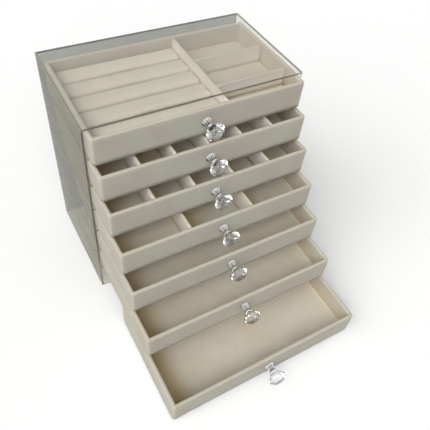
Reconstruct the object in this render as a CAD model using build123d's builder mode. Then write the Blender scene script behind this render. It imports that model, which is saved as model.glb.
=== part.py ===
"""Acrylic jewellery box with seven velvet drawers, drawn with its drawers pulled out like stairs.

Millimetres. X runs to the right, Y to the back and Z up. The origin is the centre of the case's
underside. Drawer 1 is the top one and drawer 7 the bottom one.
"""
from build123d import *
import math
import os

# Case of clear sheet
case_width = 235.0
case_depth = 130.0
sheet = 2.0
sheet_bevel = 0.3

# Runner strips under drawers 1 to 6, one pair at each level
runner_width = 5.0
runner_thickness = 2.0

# Drawers and the room around them
drawer_count = 7
drawer_height = 30.0
side_clearance = 2.0
back_clearance = 1.0
lift_clearance = 1.3
slide_clearance = 0.3

# How far drawers 1 to 5 stand out of the case. Drawer 6 is out as far as its runners still hold it,
# and drawer 7 is right out of the case
partly_out = [12.0, 25.5, 41.5, 64.0, 87.5]
runner_hold = 4.0
clear_of_case = 55.0

# Drawer walls: a board box under a velvet cover
board_wall = 2.4
board_floor = 2.0
velvet = 0.8
velvet_corner = 3.0
rim_round = 1.4
pocket_corner = 0.9

# Floor linings, and the foam pad in the ring drawer, which stops under the knob's screw
lining_thickness = 1.0
pad_below_screw = 1.5
fit_clearance = 0.3

# Dividers stand on the lining and stop just under the rim
divider_thickness = 3.0
divider_round = 1.2
divider_below_rim = 1.0
long_divider_x = 25.0
cross_divider_pitch = 46.5
cross_divider_count = 2
plain_drawer_dividers = {2: 5, 3: 4, 4: 2}

# Ring rolls side by side in the wide part of drawer 1
roll_count = 5
roll_height = 11.0
roll_shoulder = 8.0
roll_side_draw = 0.9
roll_end_round = 1.8

# Knob: a flared metal stem, a cut crystal and the screw that holds them
stem_base_radius = 5.4
stem_base_rim = 0.8
stem_neck_radius = 3.0
stem_seat_radius = 3.8
stem_flare_length = 5.6
stem_length = 8.5
stem_flare_radius = 9.0
screw_radius = 1.95
screw_reach = 6.0
screw_clearance = 0.1
screw_head_radius = 3.5
screw_head_height = 1.8
screw_head_round = 1.1
screw_slot_width = 0.9
screw_slot_length = 4.2
screw_slot_depth = 0.9
wall_hole_clearance = 0.35

# Crystal: a flat table, a crown of three rows of facets, a girdle and a pavilion
crystal_radius = 10.0
crystal_table_radius = 5.6
crystal_crown_height = 3.8
crystal_girdle = 1.3
crystal_pavilion = 7.4
crystal_seat_radius = 3.0
crystal_facets = 8
star_facet_angle = 27.0
upper_facet_steeper = 9.0
lower_facet_steeper = 6.0

# Worked out from the sizes above
level_pitch = drawer_height + lift_clearance + runner_thickness + slide_clearance
case_height = 2 * sheet + drawer_count * level_pitch - runner_thickness
front_y = -case_depth / 2
wall = board_wall + 2 * velvet
drawer_width = case_width - 2 * sheet - 2 * side_clearance
drawer_depth = case_depth - sheet - back_clearance
pulled_out = partly_out + [drawer_depth - runner_hold, drawer_depth + clear_of_case]
board_width = drawer_width - 2 * velvet
board_depth = drawer_depth - 2 * velvet
board_height = drawer_height - velvet
pocket_width = drawer_width - 2 * wall
pocket_depth = drawer_depth - 2 * wall
ring_pad_thickness = drawer_height / 2 - screw_head_radius - pad_below_screw - board_floor


def write(piece, node):
    """Label a finished piece and write it as the node of that name."""
    piece.part.label = node
    export_step(piece.part, f"parts/{node}.step")


def drawer_front(number):
    """Y of the outer face of a drawer's front."""
    return front_y - pulled_out[number - 1]


def drawer_base(number):
    """Z of a drawer's underside, which rides just over its runners or the bottom sheet."""
    return sheet + slide_clearance + (drawer_count - number) * level_pitch


def drawer_plane(number, height=0.0):
    """Level plane in the middle of a drawer, a given height over its underside."""
    return Plane.XY.offset(drawer_base(number) + height).move(
        Location((0, drawer_front(number) + drawer_depth / 2, 0))
    )


def knob_plane(number, out=0.0):
    """Upright plane at the middle of a drawer's front, facing out of the drawer."""
    centre = (0, drawer_front(number) - out, drawer_base(number) + drawer_height / 2)
    return Plane(origin=centre, x_dir=(1, 0, 0), z_dir=(0, -1, 0))


def lining_height(number):
    """Thickness of what covers a drawer's floor board."""
    return ring_pad_thickness if number == 1 else lining_thickness


# Case

def make_level_sheet(underside):
    """Top or bottom sheet of the case, over the whole width and depth."""
    with BuildPart() as level_sheet:
        with BuildSketch(Plane.XY.offset(underside)):
            Rectangle(case_width, case_depth)
        extrude(amount=sheet)
        chamfer(level_sheet.edges().filter_by(Axis.Z), length=sheet_bevel)
    return level_sheet


def make_side_sheet(side):
    """Left (-1) or right (+1) sheet, standing between the bottom and the top sheet."""
    with BuildPart() as side_sheet:
        with BuildSketch(Plane.XY.offset(sheet)):
            with Locations((side * (case_width - sheet) / 2, 0)):
                Rectangle(sheet, case_depth)
        extrude(amount=case_height - 2 * sheet)
    return side_sheet


def make_back_sheet():
    """Back sheet, standing between the two sides."""
    with BuildPart() as back_sheet:
        with BuildSketch(Plane.XY.offset(sheet)):
            with Locations((0, (case_depth - sheet) / 2)):
                Rectangle(case_width - 2 * sheet, sheet)
        extrude(amount=case_height - 2 * sheet)
    return back_sheet


def make_runners(side):
    """The strips glued to one side sheet, a strip under each drawer but the bottom one."""
    strip_x = side * (case_width / 2 - sheet - runner_width / 2)
    with BuildPart() as runners:
        for level in range(1, drawer_count):
            with BuildSketch(Plane.XY.offset(sheet + level * level_pitch - runner_thickness)):
                with Locations((strip_x, -sheet / 2)):
                    Rectangle(runner_width, case_depth - sheet)
            extrude(amount=runner_thickness)
    return runners


# Drawer body

def make_board_box(number):
    """Open board box that gives the drawer its stiffness, with the hole for the knob's screw."""
    with BuildPart() as board_box:
        with BuildSketch(drawer_plane(number)):
            RectangleRounded(board_width, board_depth, velvet_corner - velvet)
        extrude(amount=board_height)
        with BuildSketch(drawer_plane(number, board_floor)):
            Rectangle(board_width - 2 * board_wall, board_depth - 2 * board_wall)
        extrude(amount=board_height - board_floor, mode=Mode.SUBTRACT)
        with BuildSketch(knob_plane(number)):
            Circle(screw_radius + wall_hole_clearance)
        extrude(amount=-wall, mode=Mode.SUBTRACT)
    return board_box


def make_velvet_cover(number, board_box):
    """Velvet glued round the outside, over the rim and down the inside of the board walls."""
    with BuildPart() as velvet_cover:
        with BuildSketch(drawer_plane(number)):
            RectangleRounded(drawer_width, drawer_depth, velvet_corner)
            RectangleRounded(pocket_width, pocket_depth, pocket_corner, mode=Mode.SUBTRACT)
        extrude(amount=drawer_height)
        fillet(velvet_cover.edges().group_by(Axis.Z)[-1], radius=rim_round)
        add(board_box.part, mode=Mode.SUBTRACT)
        with BuildSketch(knob_plane(number)):
            Circle(screw_radius + wall_hole_clearance)
        extrude(amount=-wall, mode=Mode.SUBTRACT)
    return velvet_cover


def make_floor_lining(number):
    """Velvet sheet on the floor board, or the foam pad of the ring drawer."""
    with BuildPart() as floor_lining:
        with BuildSketch(drawer_plane(number, board_floor)):
            RectangleRounded(
                pocket_width - 2 * fit_clearance, pocket_depth - 2 * fit_clearance, pocket_corner
            )
        extrude(amount=lining_height(number))
    return floor_lining


# Dividers

def divider_height(number):
    """Height of a drawer's dividers over its lining."""
    return drawer_height - divider_below_rim - board_floor - lining_height(number)


def make_long_dividers(number, places):
    """Dividers that run from the front wall to the back wall, at the given places across."""
    length = pocket_depth - 2 * fit_clearance
    with BuildPart() as long_dividers:
        with BuildSketch(drawer_plane(number, board_floor + lining_height(number))):
            with Locations([(x, 0) for x in places]):
                Rectangle(divider_thickness, length)
        extrude(amount=divider_height(number))
        top_edges = long_dividers.edges().group_by(Axis.Z)[-1].filter_by(Axis.Y)
        fillet(top_edges, radius=divider_round)
        if any(abs(x) < divider_thickness / 2 + screw_head_radius for x in places):
            with BuildSketch(knob_plane(number, -wall)):
                Circle(screw_head_radius + fit_clearance)
            extrude(amount=-(screw_head_height + fit_clearance), mode=Mode.SUBTRACT)
    return long_dividers


def make_cross_dividers():
    """Dividers across the narrow part of drawer 1, counted from the back wall."""
    left_end = long_divider_x + divider_thickness / 2 + fit_clearance
    length = pocket_width / 2 - fit_clearance - left_end
    back = pocket_depth / 2
    places = [back - (i + 1) * cross_divider_pitch for i in range(cross_divider_count)]
    with BuildPart() as cross_dividers:
        with BuildSketch(drawer_plane(1, board_floor + lining_height(1))):
            with Locations([(left_end + length / 2, y) for y in places]):
                Rectangle(length, divider_thickness)
        extrude(amount=divider_height(1))
        top_edges = cross_dividers.edges().group_by(Axis.Z)[-1].filter_by(Axis.X)
        fillet(top_edges, radius=divider_round)
    return cross_dividers


def make_ring_roll(index):
    """One padded roll: flat under, sides drawn in at the foot, a crown on top, soft ends.

    The rolls fill the space from the back wall to the head of the knob's screw.
    """
    left = -pocket_width / 2 + fit_clearance
    length = long_divider_x - divider_thickness / 2 - fit_clearance - left
    pitch = (pocket_depth - screw_head_height) / roll_count
    half = pitch / 2 - fit_clearance
    foot = half - roll_side_draw
    base = drawer_base(1) + board_floor + lining_height(1)
    middle = drawer_front(1) + drawer_depth / 2 + pocket_depth / 2 - (index + 0.5) * pitch
    end_plane = Plane(origin=(left, middle, base), x_dir=(0, 1, 0), z_dir=(1, 0, 0))
    with BuildPart() as ring_roll:
        with BuildSketch(end_plane):
            with BuildLine():
                Line((-foot, 0), (foot, 0))
                Line((foot, 0), (half, roll_shoulder))
                ThreePointArc((half, roll_shoulder), (0, roll_height), (-half, roll_shoulder))
                Line((-half, roll_shoulder), (-foot, 0))
            make_face()
        extrude(amount=length)
        crown_ends = ring_roll.edges().filter_by(GeomType.CIRCLE)
        fillet(crown_ends, radius=roll_end_round)
    return ring_roll


# Knob

def make_knob_stem(number):
    """Flared metal stem, bored for the screw, with a flat seat for the crystal."""
    face = knob_plane(number)
    profile_plane = Plane(origin=face.origin, x_dir=(0, -1, 0), z_dir=(-1, 0, 0))
    flare_end = (stem_base_rim + stem_flare_length, stem_neck_radius)
    with BuildPart() as knob_stem:
        with BuildSketch(profile_plane):
            with BuildLine():
                Line((0, 0), (0, stem_base_radius))
                Line((0, stem_base_radius), (stem_base_rim, stem_base_radius))
                RadiusArc((stem_base_rim, stem_base_radius), flare_end, -stem_flare_radius)
                Line(flare_end, (stem_length, stem_seat_radius))
                Line((stem_length, stem_seat_radius), (stem_length, 0))
                Line((stem_length, 0), (0, 0))
            make_face()
        revolve(axis=Axis(face.origin, (0, -1, 0)))
        with BuildSketch(face):
            Circle(screw_radius + screw_clearance)
        extrude(amount=screw_reach + screw_clearance, mode=Mode.SUBTRACT)
    return knob_stem


def make_crystal_shape():
    """The cut crystal at the origin, seat down and table up: a prism trimmed facet by facet."""
    total = crystal_pavilion + crystal_girdle + crystal_crown_height
    girdle_top = crystal_pavilion + crystal_girdle
    sides = 2 * crystal_facets
    girdle_inner = crystal_radius * math.cos(math.pi / sides)
    crown_angle = math.degrees(
        math.atan2(crystal_crown_height, crystal_radius - crystal_table_radius)
    )
    pavilion_angle = math.degrees(
        math.atan2(crystal_pavilion, crystal_radius - crystal_seat_radius)
    )
    # Each row: how many facets, turned by part of a step, slope, and a point on the facet
    rows = [
        (crystal_facets, 0.0, crown_angle, crystal_table_radius, total, 1),
        (crystal_facets, 0.5, star_facet_angle, crystal_table_radius, total, 1),
        (sides, 0.5, crown_angle + upper_facet_steeper, girdle_inner, girdle_top, 1),
        (crystal_facets, 0.0, pavilion_angle, crystal_seat_radius, 0.0, -1),
        (sides, 0.5, pavilion_angle + lower_facet_steeper, girdle_inner, crystal_pavilion, -1),
    ]
    with BuildPart() as crystal_shape:
        with BuildSketch():
            RegularPolygon(crystal_radius, sides)
        extrude(amount=total)
        for count, turned, slope, reach, height, way in rows:
            lean = math.radians(slope)
            for i in range(count):
                around = 2 * math.pi * (i + turned) / count
                outward = Vector(math.cos(around), math.sin(around), 0)
                normal = outward * math.sin(lean) + Vector(0, 0, way * math.cos(lean))
                facet = Plane(origin=outward * reach + Vector(0, 0, height), z_dir=normal)
                split(bisect_by=facet, keep=Keep.BOTTOM)
    return crystal_shape


def make_crystal(number, crystal_shape):
    """The crystal of one drawer, seated on the end of its stem."""
    with BuildPart() as crystal:
        with Locations(knob_plane(number, stem_length).location):
            add(crystal_shape.part)
    return crystal


def make_knob_screw(number):
    """Pan-head screw with a cross slot, from inside the drawer into the stem."""
    with BuildPart() as knob_screw:
        with BuildSketch(knob_plane(number, -wall)):
            Circle(screw_radius)
        extrude(amount=wall + screw_reach)
        with BuildSketch(knob_plane(number, -wall)):
            Circle(screw_head_radius)
        extrude(amount=-screw_head_height)
        head_rim = knob_screw.edges().filter_by(GeomType.CIRCLE).sort_by(Axis.Y)[-1]
        fillet(head_rim, radius=screw_head_round)
        with BuildSketch(knob_plane(number, -wall - screw_head_height)):
            Rectangle(screw_slot_length, screw_slot_width)
            Rectangle(screw_slot_width, screw_slot_length)
        extrude(amount=screw_slot_depth, mode=Mode.SUBTRACT)
    return knob_screw


def build_case():
    write(make_level_sheet(0.0), "bottom_sheet")
    write(make_level_sheet(case_height - sheet), "top_sheet")
    write(make_side_sheet(-1), "left_sheet")
    write(make_side_sheet(1), "right_sheet")
    write(make_back_sheet(), "back_sheet")
    write(make_runners(-1), "left_runners")
    write(make_runners(1), "right_runners")


def build_drawers():
    crystal_shape = make_crystal_shape()
    for number in range(1, drawer_count + 1):
        board_box = make_board_box(number)
        write(board_box, f"drawer_{number}_box")
        write(make_velvet_cover(number, board_box), f"drawer_{number}_velvet")
        write(make_floor_lining(number), f"drawer_{number}_floor_lining")
        write(make_knob_stem(number), f"drawer_{number}_knob_stem")
        write(make_crystal(number, crystal_shape), f"drawer_{number}_crystal")
        write(make_knob_screw(number), f"drawer_{number}_knob_screw")


def build_fittings():
    write(make_long_dividers(1, [long_divider_x]), "drawer_1_long_divider")
    write(make_cross_dividers(), "drawer_1_cross_dividers")
    for number, count in plain_drawer_dividers.items():
        spacing = pocket_width / (count + 1)
        places = [-pocket_width / 2 + (i + 1) * spacing for i in range(count)]
        write(make_long_dividers(number, places), f"drawer_{number}_dividers")
    for index in range(roll_count):
        write(make_ring_roll(index), f"ring_roll_{index + 1}")


os.makedirs("parts", exist_ok=True)
build_case()
build_drawers()
build_fittings()
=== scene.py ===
# %% [markdown]
# A clear acrylic case holds seven velvet-covered drawers, pulled out like stairs. Each drawer has
# a cut crystal knob on a flared chrome stem. This lesson dresses a finished construction model.
# Its sheets, runners, boards, crystals and screws already have the right shape and only get a
# finish. The stems are modelled again for their fine flutes, and so is every piece of cloth or
# foam, because a construction model has no soft forms.
# Everything is in metres, with +X to the right, +Y to the back and +Z up.

# %% Load the construction model
import math

import bmesh
import bpy
import numpy as np
from mathutils import Matrix, Vector, noise


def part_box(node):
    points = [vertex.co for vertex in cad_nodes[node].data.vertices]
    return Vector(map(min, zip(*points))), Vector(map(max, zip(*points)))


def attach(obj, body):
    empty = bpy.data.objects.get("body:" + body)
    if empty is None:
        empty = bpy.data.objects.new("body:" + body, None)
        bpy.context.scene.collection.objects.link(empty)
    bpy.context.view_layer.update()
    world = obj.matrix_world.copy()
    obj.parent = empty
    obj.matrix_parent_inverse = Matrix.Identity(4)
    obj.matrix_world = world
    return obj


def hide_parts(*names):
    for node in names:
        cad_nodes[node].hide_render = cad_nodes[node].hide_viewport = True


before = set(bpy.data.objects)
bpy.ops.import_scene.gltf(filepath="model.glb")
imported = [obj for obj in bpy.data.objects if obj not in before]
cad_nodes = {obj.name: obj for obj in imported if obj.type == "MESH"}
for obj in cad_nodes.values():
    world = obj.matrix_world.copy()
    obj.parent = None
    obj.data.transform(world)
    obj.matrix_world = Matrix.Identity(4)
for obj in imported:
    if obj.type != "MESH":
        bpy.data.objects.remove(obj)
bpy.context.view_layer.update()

scene = bpy.context.scene
mm = 0.001
drawer_numbers = range(1, 8)
print("construction nodes:", len(cad_nodes))

# %% [markdown]
# The camera stands to the left of the box and looks down on it. Its place and its three angles
# were found once by matching the case's corners and the drawers' fronts, so they are kept as
# plain numbers. The view direction is built from the angles, which is easier to read and to
# change than a matrix of nine numbers.

# %% Camera
picture_pixels = 430
focal_pixels = 498.5
sensor_width = 36.0
camera_place = Vector((-202.4, -396.1, 516.2)) * mm
camera_turn = math.radians(35.39)
camera_dip = math.radians(48.63)
camera_roll = math.radians(7.81)

forward = Vector((
    math.sin(camera_turn) * math.cos(camera_dip),
    math.cos(camera_turn) * math.cos(camera_dip),
    -math.sin(camera_dip),
))
level_right = Vector((math.cos(camera_turn), -math.sin(camera_turn), 0))
level_up = level_right.cross(forward)
right = level_right * math.cos(camera_roll) + level_up * math.sin(camera_roll)
up = right.cross(forward)

camera_data = bpy.data.cameras.new("camera")
camera_data.sensor_width = sensor_width
camera_data.lens = focal_pixels * sensor_width / picture_pixels
camera_data.clip_start = 10 * mm
camera = bpy.data.objects.new("camera", camera_data)
camera_axes = Matrix((right, up, -forward)).transposed().to_4x4()
camera.matrix_world = Matrix.Translation(camera_place) @ camera_axes
scene.collection.objects.link(camera)
scene.camera = camera
print("lens", round(camera_data.lens, 2), "mm")

# %% [markdown]
# Every finish is a network of nodes. Three small helpers keep the networks short: one adds a node
# and sets its options, one fills its sockets with a value or a link, and one does arithmetic.

# %% Node helpers
def fill(tree, node, sockets):
    """Set each named input of a node to a value, or link it to another node's output."""
    for key, value in sockets.items():
        if isinstance(value, bpy.types.NodeSocket):
            tree.links.new(value, node.inputs[key])
        else:
            node.inputs[key].default_value = value
    return node


def add(tree, kind, sockets=None, **options):
    """Add a node of a kind, with its options and its inputs."""
    node = tree.nodes.new("ShaderNode" + kind)
    for key, value in options.items():
        setattr(node, key, value)
    return fill(tree, node, sockets or {})


def maths(tree, operation, *values):
    """The result of an arithmetic node on up to three values."""
    node = add(tree, "Math", dict(enumerate(values)), operation=operation)
    return node.outputs[0]


def noise_value(tree, place, scale, detail=2.0, distortion=0.0):
    """A noise that varies about scale times in a metre, from 0 to 1."""
    sockets = {"Vector": place, "Scale": scale, "Detail": detail, "Distortion": distortion}
    return add(tree, "TexNoise", sockets).outputs["Fac"]


def stretch(tree, value, low, high, to_low=0.0, to_high=1.0):
    """Map a value from one range to another, and stop at the ends."""
    sockets = {0: value, 1: low, 2: high, 3: to_low, 4: to_high}
    return add(tree, "MapRange", sockets).outputs[0]


def mix_colours(tree, factor, first, second):
    """A colour between two, by a factor."""
    node = add(tree, "Mix", data_type="RGBA")
    factor_socket, first_socket, second_socket = node.inputs[0], node.inputs[6], node.inputs[7]
    for socket, value in ((factor_socket, factor), (first_socket, first), (second_socket, second)):
        if isinstance(value, bpy.types.NodeSocket):
            tree.links.new(value, socket)
        else:
            socket.default_value = value
    return node.outputs[2]


def colour(red, green, blue):
    """A colour as a screen shows it, from 0 to 255, turned into the linear light of a shader."""
    def linear(level):
        level /= 255
        return level / 12.92 if level <= 0.04045 else ((level + 0.055) / 1.055) ** 2.4
    return (linear(red), linear(green), linear(blue), 1.0)


def new_group(name, inputs, outputs):
    """An empty node group. Inputs are (name, kind, value) and outputs are (name, kind)."""
    group = bpy.data.node_groups.new(name, "ShaderNodeTree")
    new_socket = group.interface.new_socket
    for socket_name, kind, value in inputs:
        socket = new_socket(socket_name, in_out="INPUT", socket_type="NodeSocket" + kind)
        socket.default_value = value
    for socket_name, kind in outputs:
        new_socket(socket_name, in_out="OUTPUT", socket_type="NodeSocket" + kind)
    return group, group.nodes.new("NodeGroupInput"), group.nodes.new("NodeGroupOutput")


def new_material(name):
    """A material with its Principled shader."""
    material = bpy.data.materials.new(name)
    material.use_nodes = True
    tree = material.node_tree
    return material, tree, tree.nodes["Principled BSDF"]


def place_group(tree, group, sockets):
    """Put a node group into a material, with its own values."""
    node = tree.nodes.new("ShaderNodeGroup")
    node.node_tree = group
    return fill(tree, node, sockets)

# %% [markdown]
# Velvet is a short upright pile. Where a hand has brushed it one way it looks paler, and where the
# pile stands it looks deeper, so a real velvet surface is never one colour. The effect could be
# painted on, but the cloth is seen on every side of two dozen pieces, so a group of nodes works it
# out from the place on the piece: large brushed patches, small strokes, and tufts for the bump.
# Two masks come from the meshes. The first is for rims, corners and crowns, which get another
# shade: partly real wear and partly painted sheen, or painted shade on the dividers' crowns. The
# second is painted shade: a browner colour inside, next to a wall and towards the floor, where
# shadow falls.

# %% Velvet nap
nap_group, nap_in, nap_out = new_group(
    "velvet_nap",
    [
        ("Pile Color", "Color", colour(170, 163, 146)),
        ("Brushed Color", "Color", colour(186, 180, 162)),
        ("Wear And Painted Light Color", "Color", colour(214, 207, 188)),
        ("Painted Shade Color", "Color", colour(203, 180, 134)),
        ("Wear And Painted Light", "Float", 0.0),
        ("Painted Shade", "Float", 0.0),
    ],
    [("Color", "Color"), ("Roughness", "Float"), ("Height", "Float")],
)
brushed_patches_per_metre = 26.0
strokes_per_metre = 150.0
tufts_per_metre = 1900.0
patch_share, stroke_share = 0.75, 0.35
least_rub = 0.55
place = add(nap_group, "TexCoord").outputs["Object"]
patches = noise_value(nap_group, place, brushed_patches_per_metre, 3.0, 0.5)
lean = add(nap_group, "Mapping", {
    "Vector": place, "Rotation": (0.3, 0.5, 0.9), "Scale": (1.0, 0.45, 1.0),
})
strokes = noise_value(nap_group, lean.outputs[0], strokes_per_metre, 2.0, 1.0)
tufts = noise_value(nap_group, place, tufts_per_metre, 1.0)
brushed = maths(nap_group, "MULTIPLY", stretch(nap_group, patches, 0.38, 0.62), patch_share)
brushed = maths(nap_group, "MULTIPLY_ADD", strokes, stroke_share, brushed)
cloth = mix_colours(
    nap_group, brushed, nap_in.outputs["Pile Color"], nap_in.outputs["Brushed Color"])
# Rims, corners and crowns: partly wear and partly painted sheen or shade, uneven along the strokes.
unevenness = stretch(nap_group, strokes, 0.2, 0.6, least_rub, 1.0)
uneven_rub = maths(nap_group, "MULTIPLY", nap_in.outputs["Wear And Painted Light"], unevenness)
cloth = mix_colours(nap_group, uneven_rub, cloth, nap_in.outputs["Wear And Painted Light Color"])
# Painted shade: a browner colour inside, by the walls, where shadow falls.
cloth = mix_colours(nap_group, nap_in.outputs["Painted Shade"], cloth, nap_in.outputs["Painted Shade Color"])
shaded = add(nap_group, "HueSaturation", {
    "Value": stretch(nap_group, tufts, 0.3, 0.7, 0.95, 1.05), "Color": cloth,
})
height = maths(nap_group, "MULTIPLY_ADD", strokes, 0.6, maths(nap_group, "MULTIPLY", tufts, 0.4))
fill(nap_group, nap_out, {
    "Color": shaded.outputs[0],
    "Roughness": stretch(nap_group, brushed, 0.0, 1.0, 0.95, 0.82),
    "Height": height,
})
print("velvet nap nodes:", len(nap_group.nodes))

# %% [markdown]
# One cloth covers the whole box, but it is given four shades as painted light and shade. The
# cover is painted darker and greyer, a painted shade for the drawers' fronts, the lining is warmer
# so that its shade turns brown, and the dividers and the ring rolls are painted paler, a painted
# light. The group above is placed in four materials, each with its own three shades. The soft
# sheen of a pile seen from the side comes from the shader, which has a lobe for it.

# %% Velvet materials
nap_depth = 0.35 * mm


def velvet_material(name, pile, brushed_colour, rubbed_colour):
    """Velvet in the given three shades, with the soft sheen of a pile seen from the side."""
    material, tree, shader = new_material(name)
    rub = add(tree, "Attribute", attribute_name="rub").outputs["Fac"]
    deep = add(tree, "Attribute", attribute_name="deep").outputs["Fac"]
    nap = place_group(tree, nap_group, {
        "Pile Color": pile, "Brushed Color": brushed_colour, "Wear And Painted Light Color": rubbed_colour,
        "Wear And Painted Light": rub, "Painted Shade": deep,
    })
    bump = add(tree, "Bump", {
        "Strength": 0.5, "Distance": nap_depth, "Height": nap.outputs["Height"],
    })
    fill(tree, shader, {
        "Base Color": nap.outputs["Color"],
        "Roughness": nap.outputs["Roughness"],
        "Normal": bump.outputs[0],
        "Specular IOR Level": 0.15,
        "Sheen Weight": 0.25,
        "Sheen Roughness": 0.45,
        "Sheen Tint": colour(236, 230, 214),
    })
    return material


# Painted shade and light: the cover darker, the dividers and rolls paler than the one real cloth.
cover_velvet_painted_darker = velvet_material(
    "cover_velvet_painted_darker", colour(184, 175, 165), colour(187, 185, 172), colour(192, 185, 168))
lining_velvet = velvet_material(
    "lining_velvet", colour(201, 193, 173), colour(208, 202, 186), colour(214, 208, 193))
divider_velvet_painted_paler = velvet_material(
    "divider_velvet_painted_paler", colour(220, 214, 201), colour(224, 218, 206), colour(188, 180, 164))
roll_velvet_painted_paler = velvet_material(
    "roll_velvet_painted_paler", colour(210, 202, 187), colour(215, 209, 194), colour(220, 214, 200))
print("velvets:", [velvet.name for velvet in bpy.data.materials if "velvet" in velvet.name])

# %% [markdown]
# The case is glued from clear acrylic sheet. Its faces are polished, but the cut edges are only
# flame-polished and rougher. Their grey-green colour is painted shade and dark reflection, and
# their emission is a painted glow for the light that runs inside the sheet. One group of nodes
# tells a face from an edge by the direction that it looks in, and adds smears, scratches and saw
# marks. It could be two materials, but a sheet is one closed body.

# %% Acrylic
acrylic_group, acrylic_in, acrylic_out = new_group(
    "acrylic_surface",
    [
        ("Clear Color", "Color", colour(236, 235, 231)),
        ("Edge Shade Color", "Color", colour(150, 150, 138)),
        ("Edge Painted Glow", "Color", colour(94, 93, 84)),
        ("Face Axis", "Vector", (0.0, 0.0, 1.0)),
    ],
    [
        ("Color", "Color"), ("Painted Glow", "Color"), ("Roughness", "Float"), ("Height", "Float"),
        ("Polished Face", "Float"),
    ],
)
smears_per_metre = 14.0
scratches_per_metre = 900.0
coordinates = add(acrylic_group, "TexCoord")
facing = add(
    acrylic_group, "VectorMath",
    {0: coordinates.outputs["Normal"], 1: acrylic_in.outputs["Face Axis"]}, operation="DOT_PRODUCT",
).outputs["Value"]
cut_edge = maths(acrylic_group, "LESS_THAN", maths(acrylic_group, "ABSOLUTE", facing), 0.5)
place = coordinates.outputs["Object"]
smears = noise_value(acrylic_group, place, smears_per_metre, 4.0, 1.5)
smears = stretch(acrylic_group, smears, 0.5, 0.75)
wipe = add(acrylic_group, "Mapping", {
    "Vector": place, "Rotation": (0.0, 0.0, 0.4), "Scale": (1.0, 0.02, 1.0),
})
scratches = noise_value(acrylic_group, wipe.outputs[0], scratches_per_metre, 1.0)
scratches = stretch(acrylic_group, scratches, 0.68, 0.74)
saw_marks = noise_value(acrylic_group, place, scratches_per_metre, 2.0)
polish, dulling = 0.01, 0.03
face_roughness = maths(acrylic_group, "MULTIPLY_ADD", smears, dulling, polish)
face_roughness = maths(acrylic_group, "MULTIPLY_ADD", scratches, dulling, face_roughness)
edge_roughness = stretch(acrylic_group, saw_marks, 0.3, 0.7, 0.35, 0.6)
clear_colour, edge_shade_colour = acrylic_in.outputs["Clear Color"], acrylic_in.outputs["Edge Shade Color"]
# Edges: a painted darker colour for shade and dark reflection, and a painted glow.
fill(acrylic_group, acrylic_out, {
    "Color": mix_colours(acrylic_group, cut_edge, clear_colour, edge_shade_colour),
    "Painted Glow": mix_colours(acrylic_group, cut_edge, colour(0, 0, 0), acrylic_in.outputs["Edge Painted Glow"]),
    "Roughness": add(
        acrylic_group, "Mix", {0: cut_edge, 2: face_roughness, 3: edge_roughness}).outputs[0],
    "Height": maths(acrylic_group, "MULTIPLY", cut_edge, saw_marks),
    "Polished Face": maths(acrylic_group, "SUBTRACT", 1.0, cut_edge),
})
print("acrylic nodes:", len(acrylic_group.nodes))

# %% [markdown]
# Clear sheet looks greyer through a slant, where more of the sheet lies in the way. So the colour
# goes from a clear one to a greyer one as the face turns away; on the side and back sheets it goes
# to a much darker grey, partly real and partly a painted shade. Glass in a path tracer also throws
# black shadows and hides the room's light from what is behind it, because such light is too rare
# to find. The usual cure is used here: a ray that only gathers light, for a shadow or for a piece
# of cloth, passes straight through. The level, side and back sheets differ only in a few values.

# %% Acrylic materials
def let_light_through(tree, shader, passed):
    """Let rays that only gather light pass through as if there were no glass but for a tint."""
    path = add(tree, "LightPath").outputs
    after_cloth = maths(tree, "GREATER_THAN", path["Diffuse Depth"], 0.5)
    gathers = maths(tree, "MAXIMUM", path["Is Shadow Ray"], after_cloth)
    clear = add(tree, "BsdfTransparent", {"Color": passed})
    both = add(tree, "MixShader", {0: gathers, 1: shader.outputs[0], 2: clear.outputs[0]})
    output = tree.nodes["Material Output"]
    tree.links.new(both.outputs[0], output.inputs["Surface"])


def slanting(tree, begins, full):
    """How far a face turns away from a straight look, 0 where begins is reached and 1 at full."""
    return stretch(tree, add(tree, "LayerWeight").outputs["Facing"], begins, full)


def acrylic_material(
        name, face_axis, straight_colour, slant_shade_colour, slants, index, passed, **edges):
    """Clear sheet whose polished faces look along face_axis, and whose other faces are edges."""
    material, tree, shader = new_material(name)
    surface = place_group(
        tree, acrylic_group, {"Face Axis": face_axis, "Clear Color": straight_colour, **edges})
    slant = maths(tree, "MULTIPLY", slanting(tree, *slants), surface.outputs["Polished Face"])
    bump = add(tree, "Bump", {
        "Strength": 0.15, "Distance": 0.05 * mm, "Height": surface.outputs["Height"],
    })
    fill(tree, shader, {
        "Base Color": mix_colours(tree, slant, surface.outputs["Color"], slant_shade_colour),
        "Roughness": surface.outputs["Roughness"],
        "Normal": bump.outputs[0],
        "Emission Color": surface.outputs["Painted Glow"],
        "Emission Strength": 1.0,
        "Transmission Weight": 1.0,
        "IOR": index,
    })
    let_light_through(tree, shader, passed)
    return material


axis_x, axis_y, axis_z = (1, 0, 0), (0, 1, 0), (0, 0, 1)
acrylic_level = acrylic_material(
    "acrylic_level", axis_z, colour(246, 245, 242), colour(243, 242, 239), (0.2, 0.8),
    1.49, colour(240, 239, 236))
# The side and back sheets' grey slant colours are partly painted shade.
acrylic_side = acrylic_material(
    "acrylic_side", axis_x, colour(238, 237, 231), colour(165, 163, 151), (0.4, 0.8),
    1.06, colour(240, 239, 234))
# The back sheet's edges get a darker painted shade and a weaker painted glow.
darker_painted_edges = {"Edge Shade Color": colour(74, 74, 70), "Edge Painted Glow": colour(52, 52, 48)}
acrylic_back = acrylic_material(
    "acrylic_back", axis_y, colour(238, 238, 233), colour(142, 142, 136), (0.0, 0.11),
    1.3, colour(235, 235, 231), **darker_painted_edges)
print("acrylics:", acrylic_level.name, acrylic_side.name, acrylic_back.name)
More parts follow.
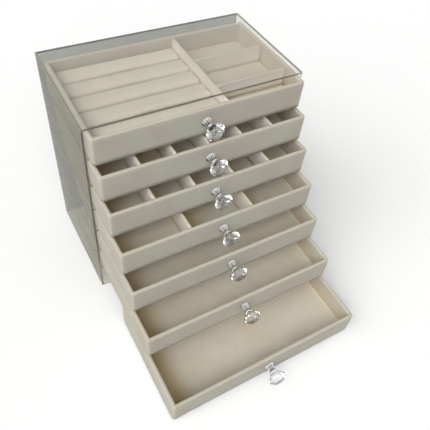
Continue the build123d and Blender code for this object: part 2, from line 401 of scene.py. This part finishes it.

# %% [markdown]
# The knob's stem is chrome plate: a mirror with faint rub marks. The grooves between its flutes
# are given a darker colour, and a mask on the mesh says where they are. The screw is plain zinc
# plate, duller and slightly blotched. Rub marks could be scratched into the mesh, but one group of
# nodes serves both metals, at two strengths.

# %% Metals
marks_group, marks_in, marks_out = new_group(
    "metal_marks",
    [
        ("Metal Color", "Color", colour(225, 226, 228)),
        ("Smooth", "Float", 0.06),
        ("Dull", "Float", 0.2),
        ("Tarnish", "Float", 0.1),
        ("Groove", "Float", 0.0),
    ],
    [("Color", "Color"), ("Roughness", "Float"), ("Height", "Float")],
)
blotches_per_metre = 260.0
rubs_per_metre = 2600.0
place = add(marks_group, "TexCoord").outputs["Object"]
blotches = noise_value(marks_group, place, blotches_per_metre, 3.0, 0.8)
blotches = stretch(marks_group, blotches, 0.4, 0.7)
rubs = noise_value(marks_group, place, rubs_per_metre, 2.0)
dulled = maths(marks_group, "MULTIPLY", blotches, stretch(marks_group, rubs, 0.3, 0.7))
tarnished = maths(marks_group, "MULTIPLY", blotches, marks_in.outputs["Tarnish"])
tarnish_colour, groove_colour = colour(120, 116, 108), colour(96, 94, 88)
bright = mix_colours(marks_group, tarnished, marks_in.outputs["Metal Color"], tarnish_colour)
roughness = add(marks_group, "Mix", {
    0: dulled, 2: marks_in.outputs["Smooth"], 3: marks_in.outputs["Dull"],
})
fill(marks_group, marks_out, {
    "Color": mix_colours(marks_group, marks_in.outputs["Groove"], bright, groove_colour),
    "Roughness": roughness.outputs[0],
    "Height": rubs,
})


def metal_material(name, metal, smooth, dull, tarnish, bump_strength):
    """Plated metal with rub marks."""
    material, tree, shader = new_material(name)
    groove = add(tree, "Attribute", attribute_name="groove").outputs["Fac"]
    marks = place_group(tree, marks_group, {
        "Metal Color": metal, "Smooth": smooth, "Dull": dull, "Tarnish": tarnish, "Groove": groove,
    })
    bump = add(tree, "Bump", {
        "Strength": bump_strength, "Distance": 0.03 * mm, "Height": marks.outputs["Height"],
    })
    fill(tree, shader, {
        "Base Color": marks.outputs["Color"],
        "Roughness": marks.outputs["Roughness"],
        "Normal": bump.outputs[0],
        "Metallic": 1.0,
    })
    return material


chrome = metal_material("chrome_plate", colour(222, 222, 221), 0.06, 0.2, 0.12, 0.05)
zinc = metal_material("zinc_plate", colour(188, 188, 186), 0.28, 0.5, 0.35, 0.3)
print("metals:", chrome.name, zinc.name)

# %% [markdown]
# The crystal is polished glass with a high index, so its facets throw bright and dark patches of
# the room. On a white floor such a stone nearly vanishes, so the facets that turn away are
# painted a greyer glass: a painted dark reflection. A breath of haze and a faint waviness take off
# the perfection that a computed facet has.

# %% Crystal
crystal_glass, tree, shader = new_material("cut_crystal")
haze_per_metre, waves_per_metre = 300.0, 420.0
most_haze = 0.025
place = add(tree, "TexCoord").outputs["Object"]
haze = stretch(tree, noise_value(tree, place, haze_per_metre, 2.0), 0.45, 0.75, 0.0, most_haze)
waves = noise_value(tree, place, waves_per_metre, 1.0)
waves = add(tree, "Bump", {"Strength": 0.05, "Distance": 0.05 * mm, "Height": waves})
straight = mix_colours(tree, haze, colour(252, 253, 255), colour(236, 238, 242))
fill(tree, shader, {
    # Facets that turn away are painted grey, a painted dark reflection.
    "Base Color": mix_colours(tree, slanting(tree, 0.25, 0.75), straight, colour(150, 150, 145)),
    "Roughness": haze,
    "Normal": waves.outputs[0],
    "Transmission Weight": 1.0,
    "IOR": 1.6,
})
let_light_through(tree, shader, colour(240, 241, 244))
print("crystal nodes:", len(tree.nodes))

# %% [markdown]
# The drawers are thin fibreboard under the cloth, bare only underneath. Pressed fibres lie in all
# directions, so two noises of different grain, one drawn out, give the board its mottled brown.

# %% Fibreboard
fibreboard, tree, shader = new_material("fibreboard")
fibres_per_metre, flecks_per_metre = 900.0, 260.0
fibre_share, fleck_share = 0.6, 0.4
place = add(tree, "TexCoord").outputs["Object"]
drawn_out = add(tree, "Mapping", {
    "Vector": place, "Scale": (0.25, 1.0, 1.0), "Rotation": (0.0, 0.0, 0.6),
})
fibres = noise_value(tree, drawn_out.outputs[0], fibres_per_metre, 4.0, 0.6)
flecks = noise_value(tree, place, flecks_per_metre, 3.0)
board_mix = maths(
    tree, "MULTIPLY_ADD", fibres, fibre_share, maths(tree, "MULTIPLY", flecks, fleck_share))
board_bump = add(tree, "Bump", {"Strength": 0.4, "Distance": 0.15 * mm, "Height": fibres})
fill(tree, shader, {
    "Base Color": mix_colours(
        tree, stretch(tree, board_mix, 0.35, 0.65), colour(146, 122, 94), colour(186, 164, 134)),
    "Roughness": stretch(tree, flecks, 0.3, 0.7, 0.7, 0.9),
    "Normal": board_bump.outputs[0],
    "Specular IOR Level": 0.3,
})
print("fibreboard nodes:", len(tree.nodes))

# %% [markdown]
# The case is five glued sheets with thin runner strips, and each drawer is a board box with a
# crystal and a screw. Sawn, pressed and cut things are as sharp and straight as the construction
# model has them, so their shape stays and only the material changes. The level, side and back
# sheets get an acrylic each, because the group above needs to know which way their faces look.

# %% Dress the construction pieces that stay
level_pieces = ("top_sheet", "bottom_sheet", "left_runners", "right_runners")
finishes = dict.fromkeys(level_pieces, acrylic_level)
finishes.update(left_sheet=acrylic_side, right_sheet=acrylic_side, back_sheet=acrylic_back)
for number in drawer_numbers:
    finishes[f"drawer_{number}_box"] = fibreboard
    finishes[f"drawer_{number}_crystal"] = crystal_glass
    finishes[f"drawer_{number}_knob_screw"] = zinc
for node, material in finishes.items():
    cad_nodes[node].data.materials.clear()
    cad_nodes[node].data.materials.append(material)
print("pieces that stay:", len(finishes))

# %% [markdown]
# Soft pieces are built from rings of points. A ring can be traced once round a shape and repeated
# at each height or station, and neighbouring rings are joined by four-sided faces. That keeps the
# mesh even, so that a little noise can make the cloth lie as cloth does. A smooth random push of a
# tenth of a millimetre or two is enough, because glued velvet follows its board closely. A mask is
# a number for each point, which a material reads by its name.

# %% Mesh helpers
def shade_smooth(mesh):
    mesh.polygons.foreach_set("use_smooth", [True] * len(mesh.polygons))


def add_mask(mesh, name, values):
    """Store one number for each point of a mesh, for a material to read."""
    mask = mesh.attributes.new(name, "FLOAT", "POINT")
    mask.data.foreach_set("value", np.array(values, np.float32))


def make_piece(name, points, faces, **masks):
    """A smooth-shaded mesh object from points and faces, with a value per point for each mask."""
    mesh = bpy.data.meshes.new(name)
    mesh.from_pydata([tuple(p) for p in points], [], faces)
    mesh.update()
    shade_smooth(mesh)
    for mask_name, values in masks.items():
        add_mask(mesh, mask_name, values)
    piece = bpy.data.objects.new(name, mesh)
    scene.collection.objects.link(piece)
    return piece


def rounded_ring(half_x, half_y, radius, steps_x, steps_y, corner_steps):
    """Points anticlockwise round a rectangle with rounded corners, as many for every size."""
    corners = [
        (half_x, -half_y, -90), (half_x, half_y, 0), (-half_x, half_y, 90), (-half_x, -half_y, 180),
    ]
    side_steps = [steps_y, steps_x, steps_y, steps_x]

    def on_corner(corner, turned):
        """The point of a corner's round after a turn of so many degrees."""
        x, y, start = corner
        centre = Vector((x - math.copysign(radius, x), y - math.copysign(radius, y)))
        angle = math.radians(start + turned)
        return centre + radius * Vector((math.cos(angle), math.sin(angle)))

    points = []
    for i, corner in enumerate(corners):
        for step in range(corner_steps + 1):
            points.append(on_corner(corner, 90 * step / corner_steps))
        side_start, side_end = points[-1], on_corner(corners[(i + 1) % 4], 0)
        for step in range(1, side_steps[i]):
            points.append(side_start.lerp(side_end, step / side_steps[i]))
    return points


def join_rings(ring_count, per_ring):
    """Faces between rings that follow one another, each ring closed on itself."""
    faces = []
    for row in range(ring_count - 1):
        for i in range(per_ring):
            j = (i + 1) % per_ring
            a, b = row * per_ring, (row + 1) * per_ring
            faces.append((a + i, a + j, b + j, b + i))
    return faces


def drift(point, wavelength, seed):
    """A smooth random number from about -1 to 1 that changes over a wavelength."""
    elsewhere = Vector((seed * 7.3, seed * 3.1, seed * 5.7))
    return noise.noise(Vector(point) / wavelength + elsewhere)


def settle(piece, amount, wavelength, seed):
    """Push each point of a mesh along its normal by a small smooth noise."""
    mesh = piece.data
    moves = [v.normal * amount * drift(v.co, wavelength, seed) for v in mesh.vertices]
    for vertex, move in zip(mesh.vertices, moves):
        vertex.co += move
    mesh.update()


def thicken(piece, thickness):
    """Make a closed cloth of an open surface, grown inwards."""
    modifier = piece.modifiers.new("cloth_thickness", "SOLIDIFY")
    modifier.thickness = thickness
    modifier.offset = -1


def box_parts(node):
    """(lowest corner, highest corner) of each separate solid of a construction node, in order."""
    shape = bmesh.new()
    shape.from_mesh(cad_nodes[node].data)
    bmesh.ops.remove_doubles(shape, verts=shape.verts, dist=0.001 * mm)
    shape.verts.ensure_lookup_table()
    left, parts = set(shape.verts), []
    while left:
        reached, to_visit = set(), [left.pop()]
        while to_visit:
            vertex = to_visit.pop()
            reached.add(vertex)
            for edge in vertex.link_edges:
                other = edge.other_vert(vertex)
                if other in left:
                    left.discard(other)
                    to_visit.append(other)
        co = np.array([v.co for v in reached])
        parts.append((Vector(co.min(0)), Vector(co.max(0))))
    shape.free()
    return sorted(parts, key=lambda part: (round(part[0].x, 5), round(part[0].y, 5)))


def dress(piece, material, body, slot, *nodes):
    """Finish a soft piece, and let it stand for its construction nodes on a body."""
    piece.data.materials.append(material)
    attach(piece, body)
    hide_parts(*nodes)
    return piece

# %% [markdown]
# The stem of each knob is a flared casting with fine flutes that run from its foot to the crystal.
# A turned cone would mirror the drawer as one flat patch, while flutes break the mirror into the
# bright and dark streaks of the real one. Each ring of points is a circle with a small wave on it,
# and the wave fades out at the foot and at the crystal's seat, which are turned smooth.

# %% Fluted stems
stem_foot_radius = 5.4 * mm
stem_foot_rim = 0.8 * mm
stem_neck_radius = 3.0 * mm
stem_seat_radius = 3.8 * mm
stem_flare_end = 6.4 * mm
stem_bead = 0.3 * mm
collar_length = 0.7 * mm
flare_steps = 12
flute_count = 9
flute_depth = 0.3
groove_darkness = 0.8
points_per_flute = 10


def stem_profile(length):
    """(distance from the drawer, radius, strength of the flutes) along a stem."""
    edge = 0.1 * mm
    profile = [
        (0.0, stem_foot_radius - stem_bead, 0.0),
        (edge, stem_foot_radius - edge, 0.0),
        (stem_bead, stem_foot_radius, 0.0),
        (stem_foot_rim, stem_foot_radius, 0.0),
        (stem_foot_rim + 1.5 * edge, stem_foot_radius - 2.5 * edge, 0.3),
    ]
    flare_length = stem_flare_end - stem_foot_rim
    flare_height = stem_foot_radius - stem_bead - stem_neck_radius
    for step in range(1, flare_steps + 1):
        share = step / flare_steps
        radius = stem_neck_radius + flare_height * (1 - share) ** 1.5
        profile.append((stem_foot_rim + flare_length * share, radius, min(1.0, 3 * share)))
    collar = length - collar_length
    return profile + [
        (stem_flare_end + 4 * edge, stem_neck_radius + edge, 0.0),
        (collar, stem_seat_radius - 1.5 * edge, 0.0),
        (collar + 1.5 * edge, stem_seat_radius, 0.0),
        (length - edge, stem_seat_radius, 0.0),
        (length, stem_seat_radius - edge, 0.0),
    ]


def make_stem(number):
    node = f"drawer_{number}_knob_stem"
    low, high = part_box(node)
    middle = (low + high) / 2
    per_ring = flute_count * points_per_flute
    points, grooves = [], []
    profile = stem_profile(high.y - low.y)
    for out, radius, fluted in profile:
        for i in range(per_ring):
            angle = 2 * math.pi * i / per_ring
            groove = fluted * (0.5 - 0.5 * math.cos(flute_count * angle)) ** 1.5
            grooves.append(groove_darkness * groove)
            reach = radius * (1 - flute_depth * groove)
            x, z = middle.x - reach * math.cos(angle), middle.z + reach * math.sin(angle)
            points.append((x, high.y - out, z))
    faces = join_rings(len(profile), per_ring)
    faces.append(tuple(reversed(range(per_ring))))
    faces.append(tuple(range((len(profile) - 1) * per_ring, len(profile) * per_ring)))
    stem = make_piece(f"drawer_{number}_fluted_stem", points, faces, groove=grooves)
    dress(stem, chrome, f"drawer_{number}", "chrome", node)
    return len(points)


for number in drawer_numbers:
    stem_points = make_stem(number)
print("points in a stem:", stem_points)

# %% [markdown]
# A strip of velvet is glued round each drawer, folded over the rim and down the inside of the
# walls. It could be a box with rounded edges, but the cloth's own shape is a profile carried
# round the drawer: up the outside, over the rim in a soft round, and down to the floor. The rings
# below are that profile's points, and each ring follows the drawer's rounded corners. The knob
# presses a shallow dimple into the front. The rim and the corners are paler, partly from wear and
# partly a painted sheen, and down the inside the cloth gets a browner painted shade towards the
# floor.

# %% Velvet covers
wall = 4.0 * mm
cloth_thickness = 0.75 * mm
corner_radius = 3.0 * mm
pocket_corner = 0.9 * mm
rim_round = 1.4 * mm
board_floor = 2.0 * mm
point_spacing = 4.0 * mm
rim_steps = 5
corner_steps = 6
dimple_depth = 0.35 * mm
dimple_reach = 13.0 * mm
# Paler rims and corners are partly wear and partly painted sheen; the foot is worn.
foot_rub, corner_rub, outer_rim_rub, inner_rim_rub = 0.25, 0.45, 0.85, 0.8
# Painted shade down the inside of the walls, growing towards the floor.
inner_deep = 0.5
broad_waves = (0.22 * mm, 34 * mm)
fine_waves = (0.10 * mm, 9 * mm)


def rim_quarter(step):
    """(inset, rise) on the round of a rim, from its upright side at step 0 to its top."""
    angle = math.radians(90 * step / rim_steps)
    return rim_round * (1 - math.cos(angle)), rim_round * math.sin(angle)


def cover_profile(height):
    """(inset from the outer face, height, wear and sheen, painted shade), from the foot outside to
    the floor inside.
    """
    shoulder = height - rim_round
    rows = round(shoulder / point_spacing)
    profile = [(0.0, shoulder * i / rows, foot_rub if i == 0 else 0.0, 0.0) for i in range(rows)]
    for step in range(rim_steps + 1):
        inset, rise = rim_quarter(step)
        profile.append((inset, shoulder + rise, outer_rim_rub, 0.0))
    profile.append((wall / 2, height, 1.0, 0.0))
    for step in reversed(range(rim_steps + 1)):
        inset, rise = rim_quarter(step)
        profile.append((wall - inset, shoulder + rise, inner_rim_rub, 0.0))
    for i in range(1, rows + 1):
        down = i / rows
        profile.append((wall, shoulder - (shoulder - board_floor) * down, 0.0, inner_deep * down))
    return profile


def make_cover(number):
    low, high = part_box(f"drawer_{number}_velvet")
    centre = (low + high) / 2
    half_x, half_y = (high.x - low.x) / 2, (high.y - low.y) / 2
    steps_x, steps_y = round(2 * half_x / point_spacing), round(2 * half_y / point_spacing)
    profile = cover_profile(high.z - low.z)
    points, rub, deep = [], [], []
    for inset, height, wear_and_light, inside_painted_shade in profile:
        radius = max(corner_radius - inset, pocket_corner)
        ring = rounded_ring(half_x - inset, half_y - inset, radius, steps_x, steps_y, corner_steps)
        for p in ring:
            points.append(Vector((centre.x + p.x, centre.y + p.y, low.z + height)))
            from_side, from_end = half_x - inset - abs(p.x), half_y - inset - abs(p.y)
            near_both = from_side + from_end < 1.1 * radius
            on_corner = near_both and min(from_side, from_end) < 0.7 * radius
            rub.append(max(wear_and_light, corner_rub if on_corner and inset == 0 else 0.0))
            deep.append(inside_painted_shade)
    per_ring = len(points) // len(profile)
    faces = join_rings(len(profile), per_ring)
    cover = make_piece(f"drawer_{number}_cover", points, faces, rub=rub, deep=deep)
    settle(cover, *broad_waves, number)
    settle(cover, *fine_waves, number + 20)
    knob = Vector((centre.x, low.y, centre.z))
    for vertex in cover.data.vertices:
        away = (vertex.co - knob).length / dimple_reach
        if away < 1:
            vertex.co.y += dimple_depth * (1 - away * away) ** 2
    thicken(cover, cloth_thickness)
    dress(cover, cover_velvet_painted_darker, f"drawer_{number}", "velvet", f"drawer_{number}_velvet")
    return cover


for number in drawer_numbers:
    cover = make_cover(number)
print("points in a cover:", len(cover.data.vertices))

# %% [markdown]
# A loose sheet of the same velvet lies on each floor. It is cut a little large, so its edge turns
# up against the walls. A grid of points with its border lifted says that with few faces. Its
# border is painted paler against the shade at the wall, and a browner painted shadow lies beside
# each left wall, the divider's as well as the drawer's, where the light from the left is blocked.
# The top drawer has a thick foam pad instead, which comes with the rolls below.

# %% Floor linings
lining_thickness = 0.95 * mm
turned_up = 1.1 * mm
turn_width = 2.6 * mm
# A painted shadow beside each left wall, and a painted paler border against the shade at the wall.
wall_shadow_width = 26 * mm
untouched_deep = 0.95
border_rub = 0.3
lining_wave, lining_wavelength = 0.12 * mm, 26 * mm
lining_reach = 0.27 * mm


def make_lining(number):
    node = f"drawer_{number}_floor_lining"
    low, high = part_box(node)
    reach = Vector((lining_reach, lining_reach, 0))
    low, high = low - reach, high + reach

    def stations(start, end):
        """Even places from start to end, with three close ones at each border."""
        count = round((end - start) / point_spacing)
        border = [turn_width * share for share in (0.0, 0.25, 0.6)]
        middle = end - start - 2 * turn_width
        inner = [start + turn_width + middle * i / count for i in range(count + 1)]
        return [start + b for b in border] + inner + [end - b for b in reversed(border)]

    left_walls = [low.x]
    dividers = f"drawer_{number}_dividers"
    if dividers in cad_nodes:
        left_walls += [highest.x for lowest, highest in box_parts(dividers)]
    xs, ys = stations(low.x, high.x), stations(low.y, high.y)
    count_x, count_y = len(xs) - 1, len(ys) - 1
    points, rub, deep = [], [], []
    for y in ys:
        for x in xs:
            border = min(x - low.x, high.x - x, y - low.y, high.y - y)
            near_border = max(0.0, 1 - border / turn_width)
            lift = turned_up * near_border ** 2
            wave = lining_wave * (1 + drift((x, y, low.z), lining_wavelength, number))
            points.append((x, y, high.z + lift + wave))
            # The border gets painted light, and the floor beside each left wall a painted shadow.
            rub.append(border_rub * near_border)
            from_wall = x - max(wall_x for wall_x in left_walls if wall_x <= x + point_spacing / 2)
            deep.append(untouched_deep * min(1.0, max(0.0, 1.15 - from_wall / wall_shadow_width)))
    faces = []
    for j in range(count_y):
        for i in range(count_x):
            a = j * (count_x + 1) + i
            faces.append((a, a + 1, a + count_x + 2, a + count_x + 1))
    lining = make_piece(f"drawer_{number}_lining_sheet", points, faces, rub=rub, deep=deep)
    thicken(lining, lining_thickness)
    dress(lining, lining_velvet, f"drawer_{number}", "velvet_lining", node)
    return lining


for number in drawer_numbers[1:]:
    lining = make_lining(number)
print("points in the last lining:", len(lining.data.vertices))

# %% [markdown]
# A divider is a thin board inside a folded strip of velvet, so its top is round and its faces
# bulge a little. Its section is drawn once and carried along the divider, whose ends reach a
# quarter of a millimetre further, so that they touch the walls' own cloth. The dividers of one
# drawer are one group of separate closed bodies, as in the construction model.

# %% Dividers
divider_crown = 1.2 * mm
crown_steps = 4
face_bulge = 0.12 * mm
divider_reach = 0.25 * mm
divider_waves = (0.12 * mm, 18 * mm)
to_front = Vector((0, -1, 0))
# The crown gets a darker painted shade, growing towards its top.
crown_rub = (0.3, 0.8)


def divider_section(thickness, height):
    """(across, up, painted crown shade) round a divider, from its foot on one side to its foot on
    the other.
    """
    half = thickness / 2
    shoulder = height - divider_crown
    rows = max(2, round(shoulder / point_spacing))
    side = []
    for i in range(rows):
        up_to = i / rows
        side.append((half + face_bulge * math.sin(math.pi * up_to), shoulder * up_to, 0.0))
    for step in range(crown_steps + 1):
        share = step / crown_steps
        angle = math.radians(90 * share)
        across = half - divider_crown + divider_crown * math.cos(angle)
        wear_and_light = crown_rub[0] + (crown_rub[1] - crown_rub[0]) * share
        side.append((across, shoulder + divider_crown * math.sin(angle), wear_and_light))
    return side + [(-across, up_to, wear_and_light) for across, up_to, wear_and_light in reversed(side)]


def carry_section(section, start, along, across, length, steps):
    """Points and faces of a closed body: a section carried from start along a direction."""
    points = []
    for step in range(steps + 1):
        station = start + along * (length * step / steps)
        points += [station + across * u + Vector((0, 0, v)) for u, v, wear_and_light in section]
    count = len(section)
    faces = join_rings(steps + 1, count)
    faces.append(tuple(reversed(range(count))))
    faces.append(tuple(range(steps * count, (steps + 1) * count)))
    return points, faces


def make_dividers(number, node, seed):
    parts = box_parts(node)
    points, faces, rub = [], [], []
    for low, high in parts:
        size = high - low
        if size.x < size.y:
            along, across, length, thickness = Vector(axis_y), Vector(axis_x), size.y, size.x
        else:
            along, across, length, thickness = Vector(axis_x), to_front, size.x, size.y
        length += 2 * divider_reach
        start = (low + high) / 2 - along * (length / 2)
        start.z = low.z
        section = divider_section(thickness, size.z)
        steps = round(length / point_spacing)
        body_points, body_faces = carry_section(section, start, along, across, length, steps)
        faces += [tuple(i + len(points) for i in face) for face in body_faces]
        points += body_points
        rub += [wear_and_light for u, v, wear_and_light in section] * (steps + 1)
    dividers = make_piece(f"{node}_wrapped", points, faces, rub=rub)
    settle(dividers, *divider_waves, seed)
    dress(dividers, divider_velvet_painted_paler, f"drawer_{number}", "velvet_divider", node)
    return len(parts)


divider_nodes = [
    (1, "drawer_1_long_divider"), (1, "drawer_1_cross_dividers"),
    (2, "drawer_2_dividers"), (3, "drawer_3_dividers"), (4, "drawer_4_dividers"),
]
for seed, (number, node) in enumerate(divider_nodes, start=40):
    print(node, make_dividers(number, node, seed))

# %% [markdown]
# The top drawer's floor is a thick pad of foam under velvet, cut to fit the drawer. A flat sheet
# would look too thin beside the walls, so the pad is a closed body: rings of points up its sides
# and over its rounded edge, with one flat face on top.

# %% Foam pad
pad_edge_round = 1.6 * mm
pad_corner_steps = 3


def make_pad():
    node = "drawer_1_floor_lining"
    low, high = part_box(node)
    centre, half = (low + high) / 2, (high - low) / 2
    steps_x, steps_y = round(2 * half.x / point_spacing), round(2 * half.y / point_spacing)
    rings = [(0.0, -half.z)]
    for step in range(rim_steps + 1):
        angle = math.radians(90 * step / rim_steps)
        inset = pad_edge_round * (1 - math.cos(angle))
        rings.append((inset, half.z - pad_edge_round * (1 - math.sin(angle))))
    points = []
    for inset, height in rings:
        half_x, half_y = half.x - inset, half.y - inset
        ring = rounded_ring(
            half_x, half_y, 2 * pad_edge_round, steps_x, steps_y, pad_corner_steps)
        points += [centre + Vector((p.x, p.y, height)) for p in ring]
    per_ring = len(points) // len(rings)
    faces = join_rings(len(rings), per_ring)
    faces.append(tuple(reversed(range(per_ring))))
    faces.append(tuple(range((len(rings) - 1) * per_ring, len(rings) * per_ring)))
    pad = make_piece("drawer_1_foam_pad", points, faces)
    dress(pad, lining_velvet, "drawer_1", "velvet_lining", node)
    return len(points)


print("points in the pad:", make_pad())

# %% [markdown]
# Rings are held in the slits between five padded rolls that lie on the foam pad. A roll could be
# a rounded bar, but foam in a velvet sleeve swells between its seams. So each roll starts as a
# slightly thin bar, gets an even mesh from a voxel remesh, and is blown up a little by a cloth
# simulation with air pressure. The move of each point is capped, and the rolls stay apart.

# %% Ring rolls
roll_start_shrink = 0.7 * mm
roll_voxel = 2.2 * mm
roll_pressure = 4.0
roll_frames = 20
roll_cap = 1.1 * mm
roll_gap = 0.15 * mm
roll_foot_share, roll_shoulder_share = 0.92, 0.8
roll_crown_steps = 8
roll_waves = (0.25 * mm, 16 * mm)
# Above this share of its height a roll is painted paler: a painted highlight on its top.
roll_rub_starts = 0.6


def roll_section(half_width, height):
    """(across, up, painted highlight) round a roll: a flat foot, drawn-in sides and a round crown.
    """
    foot, shoulder = half_width * roll_foot_share, height * roll_shoulder_share
    side = [(foot, 0.0, 0.0), ((foot + half_width) / 2, shoulder / 2, 0.0)]
    for step in range(roll_crown_steps):
        share = step / roll_crown_steps
        angle = math.radians(90 * share)
        up_to = shoulder + (height - shoulder) * math.sin(angle) ** 0.8
        side.append((half_width * math.cos(angle), up_to, 0.5 * share))
    crown = [(0.0, height, 0.5)]
    return side + crown + [(-across, up_to, wear_and_light) for across, up_to, wear_and_light in reversed(side)]


def inflate(piece):
    """Swell a closed mesh with a short cloth simulation, and keep the result as its mesh."""
    before = [v.co.copy() for v in piece.data.vertices]
    cloth = piece.modifiers.new("swell", "CLOTH")
    cloth.settings.use_pressure = True
    cloth.settings.uniform_pressure_force = roll_pressure
    cloth.settings.effector_weights.gravity = 0
    cloth.point_cache.frame_end = roll_frames
    for step in range(1, roll_frames + 1):
        scene.frame_set(step)
    shaped = piece.evaluated_get(bpy.context.evaluated_depsgraph_get())
    after = [v.co.copy() for v in shaped.data.vertices]
    piece.modifiers.remove(cloth)
    scene.frame_set(1)
    for vertex, old, new in zip(piece.data.vertices, before, after):
        move = new - old
        if move.length > roll_cap:
            move = move.normalized() * roll_cap
        vertex.co = old + move


def voxel_mesh(piece, voxel):
    """Replace a mesh by an even one, which a simulation needs."""
    remesh = piece.modifiers.new("even", "REMESH")
    remesh.mode = "VOXEL"
    remesh.voxel_size = voxel
    shaped = piece.evaluated_get(bpy.context.evaluated_depsgraph_get())
    even = bpy.data.meshes.new_from_object(shaped)
    piece.modifiers.remove(remesh)
    old = piece.data
    piece.data = even
    bpy.data.meshes.remove(old)


def make_roll(index):
    node = f"ring_roll_{index}"
    low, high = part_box(node)
    size = high - low
    centre_y = (low.y + high.y) / 2
    section = roll_section(size.y / 2 - roll_start_shrink, size.z - roll_start_shrink)
    steps = round(size.x / point_spacing)
    start = Vector((low.x + roll_start_shrink, centre_y, low.z))
    length = size.x - 2 * roll_start_shrink
    points, faces = carry_section(section, start, Vector(axis_x), to_front, length, steps)
    roll = make_piece(f"{node}_padded", points, faces)
    voxel_mesh(roll, roll_voxel)
    inflate(roll)
    mesh = roll.data
    for vertex in mesh.vertices:
        co = vertex.co
        co.x = min(max(co.x, low.x), high.x)
        co.y = min(max(co.y, low.y - roll_gap), high.y + roll_gap)
        co.z = min(max(co.z, low.z), high.z)
    risen = [(vertex.co.z - low.z) / size.z for vertex in mesh.vertices]
    # The top of the roll gets a painted highlight.
    add_mask(mesh, "rub", [max(0.0, share - roll_rub_starts) for share in risen])
    shade_smooth(mesh)
    settle(roll, *roll_waves, index + 60)
    smooth = roll.modifiers.new("smooth", "SUBSURF")
    smooth.levels = smooth.render_levels = 1
    dress(roll, roll_velvet_painted_paler, "drawer_1", "velvet_roll", node)
    return len(mesh.vertices)


for index in range(1, 6):
    print("ring roll", index, make_roll(index), "points")

# %% [markdown]
# The box stands on a plain pale floor. A floor that really is white throws so much light back
# that the underside of everything glows, so this one is white only where it is looked at, by the
# camera, in metal or through glass. To rays that carry its light to the cloth it is mid grey.

# %% Floor
def seen_directly(tree):
    """1 for rays from the camera, from metal or through glass, and 0 once a ray has left cloth."""
    path = add(tree, "LightPath").outputs
    looked_at = maths(tree, "ADD", path["Is Camera Ray"], path["Is Glossy Ray"])
    looked_at = maths(tree, "ADD", looked_at, path["Is Transmission Ray"])
    looked_at = maths(tree, "MINIMUM", looked_at, 1.0)
    before_cloth = maths(tree, "LESS_THAN", path["Diffuse Depth"], 0.5)
    return maths(tree, "MULTIPLY", looked_at, before_cloth)


floor_half = 2.5
corner_signs = ((-1, -1), (1, -1), (1, 1), (-1, 1))
floor_corners = [(x * floor_half, y * floor_half, 0) for x, y in corner_signs]
floor = make_piece("floor", floor_corners, [(0, 1, 2, 3)])
floor_material, tree, shader = new_material("pale_floor")
place = add(tree, "TexCoord").outputs["Object"]
clouds_per_metre = 3.0
clouds = noise_value(tree, place, clouds_per_metre)
paper = mix_colours(tree, clouds, colour(250, 250, 249), colour(253, 253, 252))
fill(tree, shader, {
    "Base Color": mix_colours(tree, seen_directly(tree), colour(160, 160, 158), paper),
    "Roughness": 0.8,
    "Specular IOR Level": 0.1,
})
floor.data.materials.append(floor_material)
print("floor:", 2 * floor_half, "m wide")

# %% [markdown]
# Two wide lamps light the box, one from the left for the sides and one from the front for the
# fronts and floors. Their discs are so wide that shadows have no edge, and they aren't mirrored in
# the chrome, where they would be two white blobs. The room adds a little light from all round,
# more from above, and is white where it is looked at, as the floor is.

# %% Light
def far_lamp(name, comes_from, spread, strength):
    """A lamp far away, so that its light is even: soft where its spread is wide."""
    data = bpy.data.lights.new(name, "SUN")
    data.angle = math.radians(spread)
    data.energy = strength
    lamp = bpy.data.objects.new(name, data)
    lamp.rotation_euler = (-Vector(comes_from)).to_track_quat("-Z", "Y").to_euler()
    lamp.visible_glossy = False
    scene.collection.objects.link(lamp)


far_lamp("key", (-0.8, -0.1, 0.59), 56, 1.85)
far_lamp("fill", (-0.32, -0.63, 0.7), 50, 1.65)

walls_of_room = 0.27
ceiling_of_room = 0.34
ceiling_starts = 0.9
world = bpy.data.worlds.new("studio")
scene.world = world
world.use_nodes = True
tree = world.node_tree
rise = add(tree, "SeparateXYZ", {"Vector": add(tree, "TexCoord").outputs["Generated"]}).outputs["Z"]
room = stretch(tree, rise, 0.0, ceiling_starts, walls_of_room, ceiling_of_room)
strength = add(tree, "Mix", {0: seen_directly(tree), 2: room, 3: 1.0}).outputs[0]
fill(tree, tree.nodes["Background"], {"Color": colour(255, 255, 255), "Strength": strength})
scene.view_settings.view_transform = "Standard"
print("lamps:", [lamp.name for lamp in bpy.data.lights])
